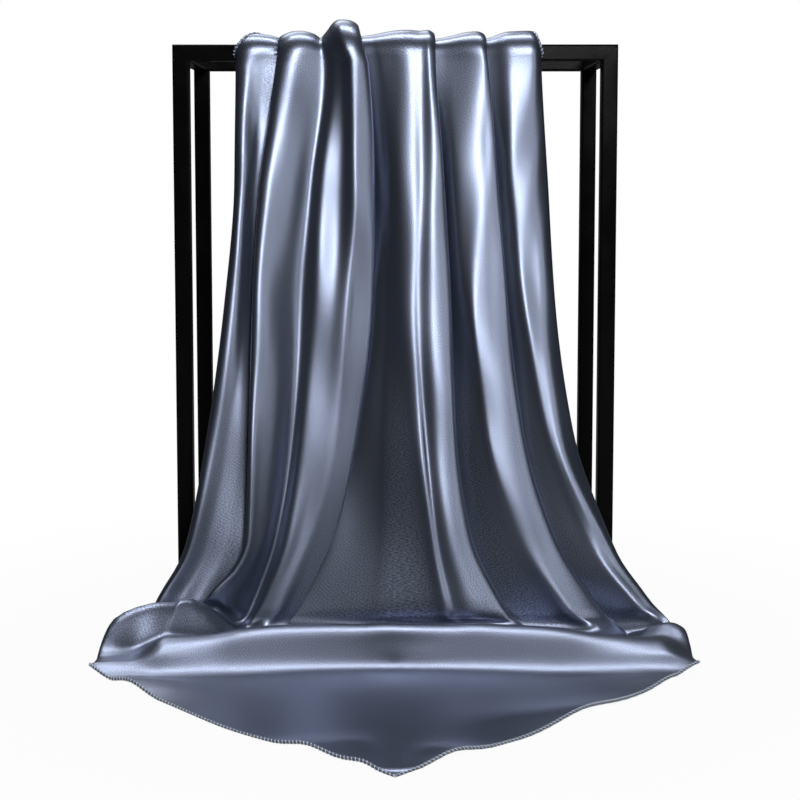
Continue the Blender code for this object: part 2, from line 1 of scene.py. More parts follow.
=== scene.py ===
import bpy
import numpy as np
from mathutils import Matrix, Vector


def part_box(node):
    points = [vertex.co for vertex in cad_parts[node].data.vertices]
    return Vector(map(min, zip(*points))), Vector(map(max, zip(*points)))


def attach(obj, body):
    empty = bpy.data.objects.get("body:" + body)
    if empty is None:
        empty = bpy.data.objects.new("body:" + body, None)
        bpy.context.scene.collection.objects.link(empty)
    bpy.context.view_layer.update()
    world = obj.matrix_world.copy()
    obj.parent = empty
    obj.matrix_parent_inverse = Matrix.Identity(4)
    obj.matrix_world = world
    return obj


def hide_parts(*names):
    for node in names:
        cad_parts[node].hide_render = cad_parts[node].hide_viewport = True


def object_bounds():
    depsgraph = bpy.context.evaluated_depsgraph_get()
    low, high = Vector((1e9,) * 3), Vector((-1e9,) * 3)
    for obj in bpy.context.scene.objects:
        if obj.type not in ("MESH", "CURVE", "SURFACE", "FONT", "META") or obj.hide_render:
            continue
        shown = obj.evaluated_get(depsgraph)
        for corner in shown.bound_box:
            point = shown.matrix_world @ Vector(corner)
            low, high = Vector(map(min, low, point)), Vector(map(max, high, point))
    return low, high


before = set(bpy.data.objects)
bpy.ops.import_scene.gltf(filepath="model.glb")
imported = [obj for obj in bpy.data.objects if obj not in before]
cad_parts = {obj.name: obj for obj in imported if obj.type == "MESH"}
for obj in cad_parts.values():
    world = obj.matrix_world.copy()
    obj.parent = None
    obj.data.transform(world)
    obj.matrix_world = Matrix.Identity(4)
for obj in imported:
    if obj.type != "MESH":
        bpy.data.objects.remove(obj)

cad_box = [list(corner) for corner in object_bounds()]
scene = bpy.context.scene


# ---- the stand: a cuboid of square steel tube, mitred and welded at the corners --------
# It is sprayed with gloss black lacquer, which has picked up dust specks and short scuffs
# from being carried about.
LACQUER = (0.0030, 0.0030, 0.0034, 1.0)
DUST = (0.22, 0.22, 0.23, 1.0)

lacquer = bpy.data.materials.new("black_lacquer")
lacquer.use_nodes = True
tree = lacquer.node_tree
shader = tree.nodes["Principled BSDF"]
shader.inputs["IOR"].default_value = 1.5
shader.inputs["Specular IOR Level"].default_value = 0.08
shader.inputs["Coat Weight"].default_value = 0.02
shader.inputs["Coat Roughness"].default_value = 0.12
place = tree.nodes.new("ShaderNodeTexCoord")

# Specks: the few cells of a fine Voronoi pattern whose own random value is very high.
specks = tree.nodes.new("ShaderNodeTexVoronoi")
specks.inputs["Scale"].default_value = 260.0
few = tree.nodes.new("ShaderNodeMath")
few.operation = "GREATER_THAN"
few.inputs[1].default_value = 0.985
near = tree.nodes.new("ShaderNodeMath")
near.operation = "LESS_THAN"
near.inputs[1].default_value = 0.22
both = tree.nodes.new("ShaderNodeMath")
both.operation = "MULTIPLY"
tree.links.new(place.outputs["Object"], specks.inputs["Vector"])
tree.links.new(specks.outputs["Color"], few.inputs[0])
tree.links.new(specks.outputs["Distance"], near.inputs[0])
tree.links.new(few.outputs[0], both.inputs[0])
tree.links.new(near.outputs[0], both.inputs[1])
paint = tree.nodes.new("ShaderNodeMix")
paint.data_type = "RGBA"
paint.inputs["A"].default_value = LACQUER
paint.inputs["B"].default_value = DUST
tree.links.new(both.outputs[0], paint.inputs["Factor"])
tree.links.new(paint.outputs["Result"], shader.inputs["Base Color"])

# Handling marks: a soft cloudy roughness, and a slight orange peel in the lacquer.
clouds = tree.nodes.new("ShaderNodeTexNoise")
clouds.inputs["Scale"].default_value = 22.0
clouds.inputs["Detail"].default_value = 6.0
rough = tree.nodes.new("ShaderNodeMapRange")
rough.inputs["From Min"].default_value = 0.35
rough.inputs["From Max"].default_value = 0.72
rough.inputs["To Min"].default_value = 0.18
rough.inputs["To Max"].default_value = 0.32
tree.links.new(place.outputs["Object"], clouds.inputs["Vector"])
tree.links.new(clouds.outputs["Fac"], rough.inputs["Value"])
tree.links.new(rough.outputs["Result"], shader.inputs["Roughness"])
peel = tree.nodes.new("ShaderNodeTexNoise")
peel.inputs["Scale"].default_value = 420.0
peel.inputs["Detail"].default_value = 2.0
bump = tree.nodes.new("ShaderNodeBump")
bump.inputs["Strength"].default_value = 0.12
bump.inputs["Distance"].default_value = 0.0004
tree.links.new(place.outputs["Object"], peel.inputs["Vector"])
tree.links.new(peel.outputs["Fac"], bump.inputs["Height"])
tree.links.new(bump.outputs["Normal"], shader.inputs["Normal"])

for name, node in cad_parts.items():
    if "bar" in name or "post" in name:
        for slot in node.material_slots:
            slot.material = lacquer


# ---- the scarf: one square of silk-look satin, its back corner hung over the front bar -
# It is a single layer, cut 90 cm square and laid with a diagonal running from front to
# back, so that the weave hangs on the bias and falls in soft, uneven folds.
SIDE = 0.900
DIAGONAL = SIDE * 2 ** 0.5
CLOTH = 0.0009                  # thickness given to the satin

# The line of the diagonal, by the length of cloth used up from the front corner.
bar_low, bar_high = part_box("front_bar_top")
ROLL_START, ROLL_CREST, ROLL_END = 0.270, 0.332, 0.390
ROLL_BASE, ROLL_HEIGHT = 0.088, 0.034
FOOT_START, FOOT_RADIUS = 0.405, 0.022
LEAN_POWER, BACK_LEAN = 1.5, 0.06
BACK_FALL = 0.30                # cloth behind the bar, more than the corner needs
BAR_RADIUS, BAR_DROP = 0.014, 0.0095    # the turn over the bar, centred below its top
BAR_Y, BAR_Z = (bar_low.y + bar_high.y) / 2, bar_high.z - BAR_DROP
TIP_PAST = 0.0018               # the tip lies this far beyond the solids
TIP_Y = cad_box[0][1] - TIP_PAST

# One row for each line that runs down the cloth, from left to right. share is its place
# across the part that shows, x its distance from the middle in mm at each of the heights
# X_AT, lift how far it stands forward of the plain hanging surface in mm at the heights
# LIFT_AT, and turn is +1 or -1 for an edge that laps over to that side.
X_AT = ("top", 0.60, 0.47, 0.34, 0.21, 0.10, 0.03)
LIFT_AT = ("top", 0.47, 0.21, 0.03)
FOLDS = (
    # name        share                x at X_AT                           lift        turn
    ("a_edge",   -1.000, (-178, -176, -177, -187, -202, -222, -250), (1, 10, 15, 8), 0),
    ("a_crest",  -0.965, (-168, -171, -171, -180, -197, -216, -245), (5, 17, 21, 14), 0),
    ("a_face",   -0.930, (-158, -163, -165, -173, -190, -210, -239), (7, 18, 22, 14), 0),
    ("a_fall",   -0.880, (-143, -152, -156, -162, -176, -196, -222), (5, 10, 15, 9), 0),
    ("a_second", -0.845, (-133, -144, -151, -158, -162, -175, -204), (4, 7, 13, 12), 0),
    ("b_edge",   -0.770, (-126, -129, -145, -152, -154, -157, -190), (3, 28, 33, 24), -1),
    ("b_crest",  -0.735, (-117, -123, -137, -147, -150, -152, -185), (9, 32, 36, 28), 0),
    ("b_face",   -0.690, (-104, -112, -127, -139, -143, -147, -178), (11, 29, 33, 25), 0),
    ("b_flank",  -0.620, (-88, -94, -109, -124, -128, -137, -166), (7, 21, 24, 18), 0),
    ("bc_dip",   -0.520, (-81, -76, -90, -100, -109, -125, -150), (1, 10, 6, 3), 0),
    ("c_crest",  -0.455, (-77, -66, -78, -85, -97, -113, -140), (6, 17, 13, 7), 0),
    ("cd_dip",   -0.370, (-71, -54, -56, -64, -77, -100, -129), (15, 15, 12, 7), 0),
    ("d_crest",  -0.330, (-63, -48, -46, -53, -66, -92, -122), (23, 21, 12, 7), 0),
    ("d_face",   -0.280, (-50, -38, -37, -44, -55, -82, -113), (22, 19, 9, 5), 0),
    ("d_edge",   -0.215, (-40, -29, -22, -25, -40, -64, -98), (14, 10, 3, 1), 1),
    ("e_foot",    0.000, (-24, -16, -8, -8, -12, -14, -20), (6, 13, 14, 13), 0),
    ("e_left",    0.050, (-8, 1, 5, 6, 17, 31, 42), (9, 23, 26, 23), 0),
    ("e_face",    0.090, (12, 16, 20, 18, 27, 39, 53), (11, 26, 29, 26), 0),
    ("e_dip",     0.125, (26, 28, 29, 26, 32, 44, 60), (9, 24, 26, 23), 0),
    ("e_crest",   0.165, (35, 36, 39, 38, 42, 55, 76), (11, 27, 30, 26), 0),
    ("e_edge",    0.245, (43, 44, 53, 60, 64, 80, 114), (5, 21, 22, 16), 1),
    ("f_start",   0.365, (52, 57, 65, 74, 92, 118, 160), (3, 17, 20, 12), 0),
    ("f_crest",   0.455, (79, 88, 90, 87, 101, 134, 178), (8, 22, 24, 16), 0),
    ("f_face",    0.500, (89, 95, 98, 100, 111, 145, 188), (8, 21, 23, 15), 0),
    ("f_edge",    0.590, (98, 101, 111, 121, 136, 168, 212), (4, 16, 14, 6), 1),
    ("g_start",   0.715, (108, 111, 120, 133, 156, 196, 240), (5, 11, 12, 11), 0),
    ("g_crest",   0.770, (122, 124, 128, 141, 163, 204, 248), (10, 15, 15, 12), 0),
    ("g_mid",     0.870, (146, 148, 150, 157, 174, 215, 256), (9, 11, 14, 11), 0),
    ("g_edge",    1.000, (160, 161, 169, 176, 193, 230, 265), (1, 1, 4, 4), 0),
)
LAP_BACK = 0.004                        # how far a lapped edge turns back under itself
LAP_SHARE = 0.040                       # cloth used by that turn
LAP_LIFT = 0.15                         # part of the edge's lift left in the gap beside it
# A fold's roundness is an average over its neighbours: steps of this share away, and
# the weight that each step has.
SOFTEN = 0.012
SOFTEN_STEPS = ((-2, 0.1), (-1, 0.2), (0, 0.4), (1, 0.2), (2, 0.1))
# Slack in the cloth between the folds: period across, period along, height, start.
RIPPLES = ((0.083, 0.290, 0.0006, 0.4), (0.047, -0.410, 0.0003, 2.1),
           (0.110, 0.150, 0.0005, 1.3))
FLAT_UNTIL = 0.290                      # length at which the lines leave the flat part
FOOT_LIFT = 0.55                        # part of the lowest lift left at the foot
FOOT_FLARE = 0.7                        # how far the lines run on outwards at the floor
BACK_LIFTS = (0.6, 0.3)                 # parts of the top lift left behind the bar
SHOW_LOW, SHOW_BAR = 0.300, 0.236       # half the width that shows, low and at the bar
GATHER_START, GATHER_END = 0.80, 1.03   # lengths between which that width narrows
# Behind the bar: the part of that width the lines spread to, the length at which they
# nearly have, and the part of their gathering that is left there.
SPREAD, SPREAD_AT, SPREAD_LEFT = 0.85, 1.160, 0.3
HELD, HELD_IN = 0.045, 0.97             # the folds stay close together just past the bar

# The wings past the part that shows, tucked behind and under. Their waves' height is a
# part of their width, and they reach their gap behind the cloth steeply.
WING_WAVE, WING_GAP, WING_STEEP = 0.12, 0.012, 1.2
WING_TURN = 0.020                       # width of the turn, in which the folds die out
WING_LEAST = 0.004                      # a narrower one on the floor isn't wholly tucked in
WING_FLOOR, WING_HUNG = 0.85, 0.49      # how much of it runs inwards, laid and hung
LAID, HUNG = 0.42, 0.58                 # lengths up to which it lies, and from which it hangs
CORNER_AT, CORNER_BEND = 0.296, 0.006   # the rounded points where cloth turns under
# The wings prop the roll's ends up: height, lengths where that starts, is full, ends and
# is over, and the shares across over which it grows.
WING_PROP, PROP_LENGTHS, PROP_SHARES = 0.014, (0.265, 0.302, 0.43, 0.50), (0.55, 0.97)
BAR_NEAR, BAR_AT, BAR_ROOM = 0.93, 1.00, 0.004      # room behind the cloth at the bar

# The floor part: pushed forward beside the middle, with a roll that sinks at its ends.
PUSH_LEFT, PUSH_RIGHT = 0.037, 0.030
PUSH_FULL, PUSH_ENDS = 0.16, 0.28       # distances from the middle: in full, and at its ends
PUSH_FROM, PUSH_OVER = 0.15, 0.45       # lengths: from where it fades, and where it is over
# Rows of SINKS are: side, from, to, part of its height lost.
SINKS = ((-1, 0.12, 0.26, 0.45), (-1, 0.225, 0.262, 0.55),
         (1, 0.14, 0.28, 0.60), (1, 0.26, 0.30, 0.40))
# Places (x, y, height) along the loop at its left end and the pouch at its right.
LOOP = ((-0.160, 0.018, 0.002), (-0.185, 0.006, 0.022), (-0.212, -0.007, 0.034),
        (-0.245, -0.023, 0.034), (-0.276, -0.042, 0.026), (-0.292, -0.058, 0.010))
POUCH = ((0.245, -0.010, 0.012), (0.282, -0.036, 0.016), (0.298, -0.056, 0.010))
RIDGE_REACH, RIDGE_STEPS = 0.027, 17    # half a ridge's width, and places along its line
RIDGE_FROM, RIDGE_OVER = 0.41, 0.50     # lengths where the ridges fade, and are over
# Waves of the free edge: side, distance from the tip, height, reach.
WAVES = ((1, 0.070, 0.006, 0.030), (1, 0.235, 0.009, 0.050), (1, 0.375, 0.006, 0.030),
         (-1, 0.035, 0.004, 0.025), (-1, 0.105, 0.006, 0.030), (-1, 0.355, 0.008, 0.030))
WAVE_DEPTH, WAVE_CLEAR = 0.045, 0.030   # how far in they reach, and clear of the diagonal
BEND = 0.02                             # how gently the wings turn in from what shows
SLOPE_STEP = 0.003                      # length each way over which a slope is read


def smooth(low, high, value):
    """0 below low, 1 above high, and the cubic 3t^2 - 2t^3 of the part between."""
    part = np.clip((value - low) / (high - low), 0.0, 1.0)
    return part * part * (3.0 - 2.0 * part)


def soft_plus(value, bend=BEND):
    """The larger of value and 0, as half of value plus the root of value^2 + bend^2."""
    return (value + np.sqrt(value * value + bend * bend)) / 2.0


def diagonal_line():
    """(length, y, z) along the diagonal, dense enough to interpolate.

    A flat stretch, one period of a squared sine for the roll, a quarter circle for the
    foot, a line whose lean is a power of the drop below the bar, half a circle over the
    bar, and a straight fall behind it.
    """
    flat = np.linspace(0.0, ROLL_START, 40)
    y_parts, z_parts = [TIP_Y + flat], [np.zeros_like(flat)]
    part = np.linspace(0.0, 1.0, 60)[1:]
    y_parts.append(TIP_Y + ROLL_START + ROLL_BASE * part)
    z_parts.append(ROLL_HEIGHT * np.sin(np.pi * part) ** 2)
    hollow = TIP_Y + ROLL_START + ROLL_BASE + (FOOT_START - ROLL_END)
    turn = np.linspace(0.0, np.pi / 2, 24)
    y_parts.append(hollow + FOOT_RADIUS * np.sin(turn))
    z_parts.append(FOOT_RADIUS * (1.0 - np.cos(turn)))
    rise = np.linspace(FOOT_RADIUS, BAR_Z, 240)[1:]
    front, foot = BAR_Y - BAR_RADIUS, hollow + FOOT_RADIUS
    fall = ((BAR_Z - rise) / (BAR_Z - FOOT_RADIUS)) ** LEAN_POWER
    y_parts.append(front + (foot - front) * fall)
    z_parts.append(rise)
    over = np.linspace(0.0, np.pi, 48)[1:]
    y_parts.append(BAR_Y - BAR_RADIUS * np.cos(over))
    z_parts.append(BAR_Z + BAR_RADIUS * np.sin(over))
    down = np.linspace(BAR_Z, BAR_Z - BACK_FALL, 60)[1:]
    y_parts.append(BAR_Y + BAR_RADIUS + BACK_LEAN * (BAR_Z - down))
    z_parts.append(down)
    y, z = np.concatenate(y_parts), np.concatenate(z_parts)
    return np.concatenate([[0.0], np.cumsum(np.hypot(np.diff(y), np.diff(z)))]), y, z


LENGTH, LINE_Y, LINE_Z = diagonal_line()


def length_at(height):
    """Cloth used from the front corner up to this height on the hanging part."""
    if height == "top":
        return float(LENGTH[np.argmax(LINE_Z)])
    rising = (LINE_Y < BAR_Y) & (LENGTH > FOOT_START)
    return float(np.interp(height, LINE_Z[rising], LENGTH[rising]))


def spline(knots, values, at):
    """Monotone cubic through values, given along their last axis, at some places.

    The slope at an inner knot is the harmonic mean of its two chords' slopes, or nothing
    where they differ in sign, so the curve never swings past the values it joins.
    """
    knots = np.asarray(knots, float)
    wide = np.diff(knots)
    chord = np.diff(values, axis=-1) / wide
    before, after = chord[..., :-1], chord[..., 1:]
    same = before * after > 0.0
    total = np.where(same, before + after, 1.0)
    inner = np.where(same, 2.0 * before * after / total, 0.0)
    slope = np.concatenate([chord[..., :1], inner, chord[..., -1:]], axis=-1)
    cell = np.clip(np.searchsorted(knots, at) - 1, 0, len(knots) - 2)
    part, step = (at - knots[cell]) / wide[cell], wide[cell]

    def pick(table, index):
        return np.take_along_axis(table, index, axis=-1)

    rise = pick(values, cell + 1) - pick(values, cell)
    first, last = pick(slope, cell) * step, pick(slope, cell + 1) * step
    return (pick(values, cell) + part * first + part ** 2 * (3 * rise - 2 * first - last)
            + part ** 3 * (first + last - 2 * rise))


def fold_lines():
    """Share, x and lift of every line, with a hidden line beside each lapped edge."""
    lines = []
    for _, share, x, lift, turn in FOLDS:
        x, lift = np.array(x) / 1000.0, np.array(lift) / 1000.0
        gap = (share + turn * LAP_SHARE, x - turn * LAP_BACK, lift * LAP_LIFT)
        edge = (share, x, lift)
        lines += {0: [edge], 1: [edge, gap], -1: [gap, edge]}[turn]
    share, x, lift = zip(*lines)
    return np.array(share), np.array(x), np.array(lift)


SHARE, LINE_X, LINE_LIFT = fold_lines()


def lines_along(length):
    """x and lift of every fold line at these lengths, as (lengths, lines) arrays.

    Both are splines through the table's heights. At the foot a line's x flares outwards,
    then runs into its own share of the floor, and its lift into nothing. Behind the bar
    the lines spread out.
    """
    x_at = np.array([length_at(h) for h in X_AT])[::-1]
    lift_at = np.array([length_at(h) for h in LIFT_AT])[::-1]
    x_knots = np.concatenate([[FLAT_UNTIL, ROLL_CREST, FOOT_START], x_at,
                              [x_at[-1] + HELD, SPREAD_AT, DIAGONAL]])
    flat_x, spread = SHARE * SHOW_LOW, SHARE * SHOW_BAR * SPREAD
    foot_x = LINE_X[:, -1] + FOOT_FLARE * (LINE_X[:, -1] - LINE_X[:, -2])
    x_rows = np.vstack([flat_x, flat_x, foot_x, LINE_X[:, ::-1].T, LINE_X[:, 0] * HELD_IN,
                        spread + SPREAD_LEFT * (LINE_X[:, 0] - spread), spread])
    lift_knots = np.concatenate([[ROLL_CREST, FOOT_START], lift_at, [SPREAD_AT, DIAGONAL]])
    lift_rows = np.vstack([np.zeros_like(flat_x), LINE_LIFT[:, -1] * FOOT_LIFT,
                           LINE_LIFT[:, ::-1].T, np.outer(BACK_LIFTS, LINE_LIFT[:, 0])])
    at = np.clip(length, x_knots[0], x_knots[-1])
    x = spline(x_knots, x_rows.T, np.broadcast_to(at, (len(SHARE), len(at)))).T
    at = np.clip(length, lift_knots[0], lift_knots[-1])
    lift = spline(lift_knots, lift_rows.T, np.broadcast_to(at, (len(SHARE), len(at)))).T
    return x, np.maximum(lift, 0.0)


def ridge(points, x, y):
    """Height of a ridge along a spline through (x, y, height) places.

    Its profile is a squared cosine of the distance from that line.
    """
    at = np.linspace(0.0, len(points) - 1.0, RIDGE_STEPS)
    line = spline(np.arange(len(points)), np.transpose(points), np.tile(at, (3, 1))).T
    best = np.zeros_like(x)
    for (x0, y0, h0), (x1, y1, h1) in zip(line[:-1], line[1:]):
        run = np.array([x1 - x0, y1 - y0])
        part = np.clip(((x - x0) * run[0] + (y - y0) * run[1]) / (run @ run), 0.0, 1.0)
        away = np.hypot(x - x0 - part * run[0], y - y0 - part * run[1])
        bell = np.cos(np.pi / 2 * np.clip(away / RIDGE_REACH, 0.0, 1.0)) ** 2
        best = np.maximum(best, (h0 + part * (h1 - h0)) * bell)
    return best


def drape(across, length):
    """Places of points of the cloth, given as (rows, columns) of flat coordinates.

    across is the distance from the diagonal and length the distance along it. Within the
    part that shows, x and lift are read between the fold lines, the lift is averaged over
    its neighbours and rippled by sines, and the point is the diagonal's line moved out
    along its normal by the lift. Past that part the cloth turns in behind as a wing. On the
    floor the loop, the pouch and the free edge's waves are added to the height.
    """
    row = length[:, 0]
    show = (SHOW_LOW + (SHOW_BAR - SHOW_LOW) * smooth(GATHER_START, GATHER_END, row))[:, None]
    half = np.maximum(np.minimum(row, DIAGONAL - row), 1e-4)[:, None]
    share = across / show
    side = np.sign(share)
    inside = side * (1.0 - soft_plus(1.0 - np.abs(share)))
    x_lines, lift_lines = lines_along(row)
    x = spline(SHARE, x_lines, inside)
    lift = sum(part * spline(SHARE, lift_lines, np.clip(inside + SOFTEN * off, -1.0, 1.0))
               for off, part in SOFTEN_STEPS)
    hang = smooth(ROLL_START, ROLL_END, row)[:, None]
    for wide, tall, height, start in RIPPLES:
        lift = lift + hang * height * np.sin(2 * np.pi * (across / wide + length / tall) + start)
    x = x * hang + inside * show * (1.0 - hang)

    y0, z0 = np.interp(row, LENGTH, LINE_Y), np.interp(row, LENGTH, LINE_Z)
    after, before = row + SLOPE_STEP, row - SLOPE_STEP
    ty = np.interp(after, LENGTH, LINE_Y) - np.interp(before, LENGTH, LINE_Y)
    tz = np.interp(after, LENGTH, LINE_Z) - np.interp(before, LENGTH, LINE_Z)
    size = np.hypot(ty, tz)
    ny, nz = (-tz / size)[:, None], (ty / size)[:, None]
    y0, z0, row = y0[:, None], z0[:, None], row[:, None]

    # The wing runs inwards behind the cloth, with two waves over its width. On the floor a
    # narrow one only carries on sideways, and at the bar it is pressed towards the cloth.
    extra = soft_plus(np.abs(share) - 1.0) * show
    whole = np.maximum(half - show, 1e-4)
    swing = WING_WAVE * whole * np.sin(2.0 * np.pi * np.clip(extra / whole, 0.0, 1.0)) ** 2
    behind = WING_GAP * (1.0 - np.exp(-WING_STEEP * extra / WING_GAP)) + swing
    hung = smooth(LAID, HUNG, row)
    turned = smooth(0.0, WING_LEAST * (1.0 + hung), whole)
    inward = (WING_FLOOR + (WING_HUNG - WING_FLOOR) * hung) * turned
    inward = inward - (1.0 - turned) * (1.0 - hung)
    fade = 1.0 - smooth(0.0, WING_TURN, extra)
    room = BAR_ROOM + (1.0 - smooth(BAR_NEAR, BAR_AT, row))
    lift = lift * fade - behind
    lift = np.where(lift < 0.0, room * (np.exp(lift / room) - 1.0), lift)

    # On the floor the cloth has sheared, so both halves lie further forward than its
    # middle. The roll follows them at its ends and sinks there.
    push = np.where(x < 0.0, PUSH_LEFT, PUSH_RIGHT) * smooth(0.0, PUSH_FULL, np.abs(x))
    push = push * (1.0 - smooth(PUSH_FROM, ROLL_CREST, row) * (1.0 - (x / PUSH_ENDS) ** 2))
    push = push * (1.0 - smooth(ROLL_CREST, PUSH_OVER, row))
    sink = 1.0 - sum(part * smooth(near, far, hand * x) for hand, near, far, part in SINKS)
    hump = np.where(row < FOOT_START, z0 * sink * fade, z0)
    starts, full, ends, over = PROP_LENGTHS
    prop = WING_PROP * smooth(starts, full, row) * (1.0 - smooth(ends, over, row))
    prop = prop * smooth(*PROP_SHARES, np.abs(share))
    floor = (1.0 - smooth(RIDGE_FROM, RIDGE_OVER, row)) * fade
    x = x - side * extra * inward
    x = x - np.sign(x) * soft_plus(np.abs(x) - CORNER_AT, CORNER_BEND)
    y = y0 + lift * ny - push
    ridges = floor * (ridge(LOOP, x, y) + ridge(POUCH, x, y))
    z = np.maximum(hump + prop + lift * nz + ridges, 0.0)

    edge_run = np.sqrt(2.0) * length
    inward = (half - np.abs(across)) / np.sqrt(2.0)
    beside = smooth(0.0, WAVE_CLEAR, np.abs(across))
    for sign, at, height, reach in WAVES:
        near = np.exp(-((edge_run - at) / reach) ** 2) * (np.sign(across) == sign)
        z = z + height * near * np.exp(-(inward / WAVE_DEPTH) ** 2) * beside
    return np.stack([x, y, z + CLOTH / 2], axis=-1)


def quad_mesh(name, places, quads):
    """A smooth mesh object of places joined up four at a time, as quads lists them."""
    corners = quads.reshape(-1)
    mesh = bpy.data.meshes.new(name)
    mesh.vertices.add(places.size // 3)
    mesh.vertices.foreach_set("co", places.reshape(-1).astype(np.float32))
    mesh.loops.add(len(corners))
    mesh.loops.foreach_set("vertex_index", corners.astype(np.int32))
    mesh.polygons.add(len(corners) // 4)
    mesh.polygons.foreach_set("loop_start", np.arange(0, len(corners), 4, dtype=np.int32))
    mesh.update(calc_edges=True)
    mesh.shade_smooth()
    made = bpy.data.objects.new(name, mesh)
    scene.collection.objects.link(made)
    return made


def grid_mesh(name, places, flat):
    """A mesh of the quads between neighbouring rows and columns of places.

    flat holds the (u, v) of each place, which becomes the UV map.
    """
    index = np.arange(places.size // 3).reshape(places.shape[:2])
    quads = np.stack([index[:-1, :-1], index[:-1, 1:], index[1:, 1:], index[1:, :-1]], -1)
    made = quad_mesh(name, places, quads)
    uv = made.data.uv_layers.new(name="cut")
    uv_at = flat.reshape(-1, 2)[quads.reshape(-1)]
    uv.data.foreach_set("uv", uv_at.reshape(-1).astype(np.float32))
    return made


# Rows lie closest over the roll and the bar, and columns over the part that shows.
ROWS = np.concatenate([
    np.linspace(0.004, 0.25, 16), np.linspace(0.25, 0.44, 48)[1:],
    np.linspace(0.44, 0.98, 50)[1:], np.linspace(0.98, 1.10, 26)[1:],
    np.linspace(1.10, DIAGONAL - 0.004, 14)[1:]])
SHOWN, WING = 268, 20           # columns over the part that shows, and over each wing
SHOWN_MOST = 0.94               # and the most of half a row that the first of these take
half = np.minimum(ROWS, DIAGONAL - ROWS)
show = SHOW_LOW + (SHOW_BAR - SHOW_LOW) * smooth(GATHER_START, GATHER_END, ROWS)
show = np.minimum(show, half * SHOWN_MOST)
inner = np.linspace(-1.0, 1.0, SHOWN)[None, :] * show[:, None]
outer = np.linspace(0.0, 1.0, WING + 1)[None, 1:] * (half - show)[:, None] + show[:, None]
across = np.concatenate([-outer[:, ::-1], inner, outer], axis=1)
along = np.repeat(ROWS[:, None], across.shape[1], axis=1)
threads = np.stack([along + across, along - across], axis=-1) / 2 ** 0.5
panel = grid_mesh("satin_square", drape(across, along), threads)
shell = panel.modifiers.new("cloth", "SOLIDIFY")
shell.thickness = CLOTH
shell.offset = 0.0

SATIN = (0.050, 0.063, 0.104, 1.0)      # the weave's own tone between its painted glints
PAINTED_GLINT = (0.30, 0.34, 0.445, 1.0)        # and the painted glints, a lighter tone for light caught by the floats
satin = bpy.data.materials.new("steel_blue_satin")
satin.use_nodes = True
tree = satin.node_tree
shader = tree.nodes["Principled BSDF"]
shader.inputs["Metallic"].default_value = 0.92
shader.inputs["Roughness"].default_value = 0.36
shader.inputs["Anisotropic"].default_value = 0.3
place = tree.nodes.new("ShaderNodeTexCoord")
grain = tree.nodes.new("ShaderNodeTexNoise")
grain.inputs["Scale"].default_value = 1100.0
grain.inputs["Detail"].default_value = 2.0
tree.links.new(place.outputs["Object"], grain.inputs["Vector"])
bump = tree.nodes.new("ShaderNodeBump")
bump.inputs["Strength"].default_value = 0.06
bump.inputs["Distance"].default_value = 0.0003
tree.links.new(grain.outputs["Fac"], bump.inputs["Height"])
tree.links.new(bump.outputs["Normal"], shader.inputs["Normal"])

# The glints of light on the weave's long floats are painted into its colour as fine bright
# points, and its ribs run at 45 degrees to the folds because the square hangs on the bias.
cut = tree.nodes.new("ShaderNodeUVMap")
cut.uv_map = "cut"
ribs = tree.nodes.new("ShaderNodeTexWave")
ribs.inputs["Scale"].default_value = 130.0
ribs.inputs["Distortion"].default_value = 1.5
ribs.inputs["Detail"].default_value = 1.0
tree.links.new(cut.outputs["UV"], ribs.inputs["Vector"])
# Painted glints: the high values of a fine noise lighten the colour in scattered points.
points = tree.nodes.new("ShaderNodeTexNoise")
points.inputs["Scale"].default_value = 1200.0
points.inputs["Detail"].default_value = 3.0
points.inputs["Roughness"].default_value = 0.7
tree.links.new(cut.outputs["UV"], points.inputs["Vector"])
ribs_and_glints = tree.nodes.new("ShaderNodeMath")
ribs_and_glints.operation = "MULTIPLY_ADD"
ribs_and_glints.inputs[1].default_value = 0.035
tree.links.new(ribs.outputs["Fac"], ribs_and_glints.inputs[0])
tree.links.new(points.outputs["Fac"], ribs_and_glints.inputs[2])
rib_and_glint_mask = tree.nodes.new("ShaderNodeMapRange")
rib_and_glint_mask.inputs["From Min"].default_value = 0.38
rib_and_glint_mask.inputs["From Max"].default_value = 0.66
tree.links.new(ribs_and_glints.outputs[0], rib_and_glint_mask.inputs["Value"])
# The weave's ribs and the painted glints both lighten the satin's colour here.
thread = tree.nodes.new("ShaderNodeMix")
thread.data_type = "RGBA"
thread.inputs["A"].default_value = SATIN
thread.inputs["B"].default_value = PAINTED_GLINT
tree.links.new(rib_and_glint_mask.outputs["Result"], thread.inputs["Factor"])
tree.links.new(thread.outputs["Result"], shader.inputs["Base Color"])
panel.data.materials.append(satin)
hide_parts("scarf_panel")
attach(panel, "root")


# ---- the rolled hem: the cut edge rolled in and sewn over along all four sides ----------
# A thin round roll of the same satin, a little puckered between its stitches.
HEM_RADIUS = 0.0013
EDGE_BACK = 0.985               # a little in from the edge, to find which way it faces


def edge_line(spacing):
    """Evenly spaced flat coordinates round the square, starting at the front corner."""
    run = np.arange(0.0, 4 * SIDE, spacing)
    quarter, part = np.divmod(run, SIDE)
    u = np.choose(quarter.astype(int), [part, SIDE + 0 * part, SIDE - part, 0 * part])
    v = np.choose(quarter.astype(int), [0 * part, part, SIDE + 0 * part, SIDE - part])
    return (u - v) / 2 ** 0.5, (u + v) / 2 ** 0.5


def edge_frame(across, length):
    """Places on the edge, with unit vectors out of the cloth and away from its edge."""
    at = drape(across[:, None], length[:, None])[:, 0]
    ahead = np.roll(at, -1, axis=0) - np.roll(at, 1, axis=0)
    ahead /= np.linalg.norm(ahead, axis=1, keepdims=True)
    near = DIAGONAL / 2 + (length - DIAGONAL / 2) * EDGE_BACK
    back = drape(across[:, None] * EDGE_BACK, near[:, None])[:, 0]
    away = at - back
    away -= (away * ahead).sum(axis=1, keepdims=True) * ahead
    away /= np.linalg.norm(away, axis=1, keepdims=True)
    return at, np.cross(ahead, away), away


